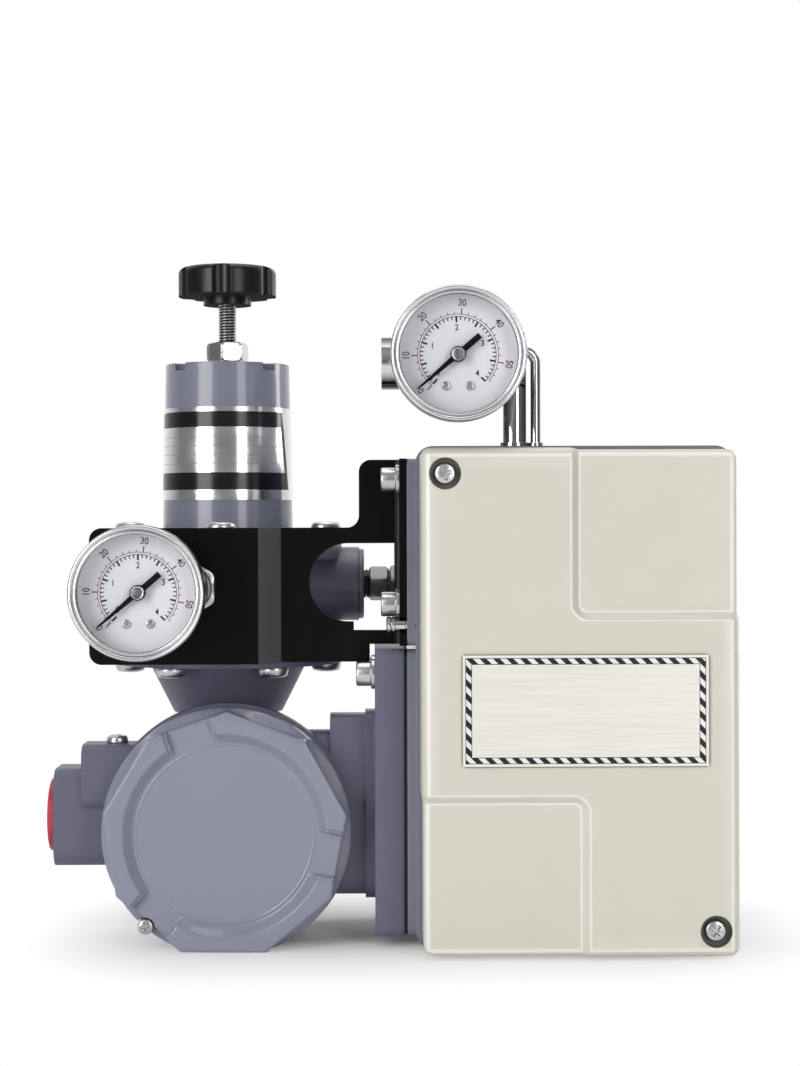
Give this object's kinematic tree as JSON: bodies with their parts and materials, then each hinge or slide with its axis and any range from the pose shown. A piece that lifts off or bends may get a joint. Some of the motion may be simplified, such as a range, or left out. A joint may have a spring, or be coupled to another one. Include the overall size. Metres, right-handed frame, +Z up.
{
  "type": "valve positioner",
  "caption": "Electro-pneumatic valve positioner: cast case with a stepped cover, nine-sided junction box, filter regulator on a joggled bracket, dial gauges and feedback lever.",
  "frame": {"origin": "centre of the case's bottom face", "axes": "+X to the right of the front view, +Y to the rear, +Z up"},
  "size_m": [0.2816, 0.1425, 0.2848],
  "materials": {
    "grey_paint": "stoved enamel over a casting, slightly violet grey",
    "cover_paint": "semi-matt beige enamel",
    "black_paint": "satin black on bent sheet",
    "plate_metal": "etched plate with a hatched border",
    "foil": "bright foil with black bands",
    "rubber": "matt",
    "fastener": "bright zinc",
    "machined_steel": "turned",
    "spring_steel": "drawn wire",
    "chrome": "polished plating",
    "gauge_steel": "polished stainless",
    "gauge_glass": "clear",
    "pointer_black": "matt black",
    "brass": "turned",
    "copper_wire": "enamelled copper winding",
    "magnet": "ground",
    "plate_aluminium": "satin",
    "black_plastic": "glossy",
    "red_plastic": "soft gloss",
    "filter_felt": "sintered felt"
  },
  "bodies": {
    "case": {"case_base": "grey_paint", "front_cover": "cover_paint", "cover_gasket": "rubber", "cover_screws": "fastener", "nameplate": "plate_metal", "mechanism_plate": "plate_aluminium", "torque_motor_yoke": "magnet", "torque_motor_magnet": "magnet", "torque_motor_coil": "copper_wire", "armature_pivot": "machined_steel", "nozzle_block": "brass", "pilot_relay": "plate_aluminium", "shaft_bush": "brass", "feedback_spring": "spring_steel", "junction_box_body": "grey_paint", "junction_box_cover": "grey_paint", "junction_box_seal": "rubber", "cover_lock_screw": "fastener", "conduit_plug": "red_plastic", "earth_screw": "fastener", "terminal_block": "black_plastic", "terminal_screws": "brass", "flange_gasket": "rubber", "flange_screws": "fastener", "regulator_body": "grey_paint", "regulator_bonnet": "grey_paint", "bonnet_label": "foil", "filter_bowl": "grey_paint", "bowl_gasket": "rubber", "diaphragm": "rubber", "bonnet_screws": "fastener", "bowl_screws": "fastener", "range_spring": "spring_steel", "lower_spring_seat": "machined_steel", "lock_nut": "machined_steel", "valve_guide": "brass", "filter_element": "filter_felt", "port_plug": "machined_steel", "outlet_nipple": "machined_steel", "bracket": "black_paint", "bracket_screws": "fastener", "vent_plug": "chrome", "gauge_cases": "gauge_steel", "gauge_bezels": "gauge_steel", "gauge_lenses": "gauge_glass", "gauge_manifold": "chrome"},
    "spring_seat": {"upper_spring_seat": "machined_steel"},
    "knob": {"knob": "black_plastic", "adjusting_stud": "machined_steel"},
    "left_pointer": {"left_pointer": "pointer_black"},
    "top_pointer": {"top_pointer": "pointer_black"},
    "feedback": {"feedback_shaft": "machined_steel", "feedback_arm": "machined_steel", "feedback_cam": "machined_steel", "feedback_lever": "machined_steel", "lever_clamp_screw": "fastener"},
    "armature": {"armature_beam": "machined_steel"},
    "zero_knob": {"zero_adjuster": "black_plastic"},
    "drain": {"drain_cock": "brass"},
    "valve": {"supply_valve": "brass"}
  },
  "joints": [
    {"name": "seat_slide", "type": "slide", "parent": "case", "child": "spring_seat", "axis": [0, 0, 1], "range_m": [-0.01, 0.0025], "deforming": ["range_spring"]},
    {"name": "knob_turn", "type": "hinge", "parent": "spring_seat", "child": "knob", "pos_m": [-0.145, 0.025, 0.279], "axis": [0, 0, 1], "range_deg": [-2890, 730]},
    {"name": "left_pointer_turn", "type": "hinge", "parent": "case", "child": "left_pointer", "pos_m": [-0.1746, -0.058, 0.146], "axis": [0, 1, 0], "range_deg": [-6.5, 267]},
    {"name": "top_pointer_turn", "type": "hinge", "parent": "case", "child": "top_pointer", "pos_m": [-0.0479, -0.058, 0.2399], "axis": [0, 1, 0], "range_deg": [-6.5, 267]},
    {"name": "feedback_turn", "type": "hinge", "parent": "case", "child": "feedback", "pos_m": [0, 0.046, 0.10225], "axis": [0, 1, 0], "range_deg": [-30, 30], "deforming": ["feedback_spring"]},
    {"name": "flapper_tilt", "type": "hinge", "parent": "case", "child": "armature", "pos_m": [0.008, 0, 0.14825], "axis": [0, 1, 0], "range_deg": [-1, 1]},
    {"name": "zero_turn", "type": "hinge", "parent": "case", "child": "zero_knob", "pos_m": [-0.03, 0, 0.10025], "axis": [0, 1, 0], "range_deg": [-180, 180]},
    {"name": "drain_turn", "type": "hinge", "parent": "case", "child": "drain", "pos_m": [-0.145, 0.025, 0.08], "axis": [0, 0, 1], "range_deg": [0, 540]},
    {"name": "valve_lift", "type": "slide", "parent": "case", "child": "valve", "axis": [0, 0, 1], "range_m": [-0.001, 0]}
  ],
  "couplings": [
    {"joint": "knob_turn", "follows": "seat_slide", "rad_per_m": 5026.5}
  ]
}
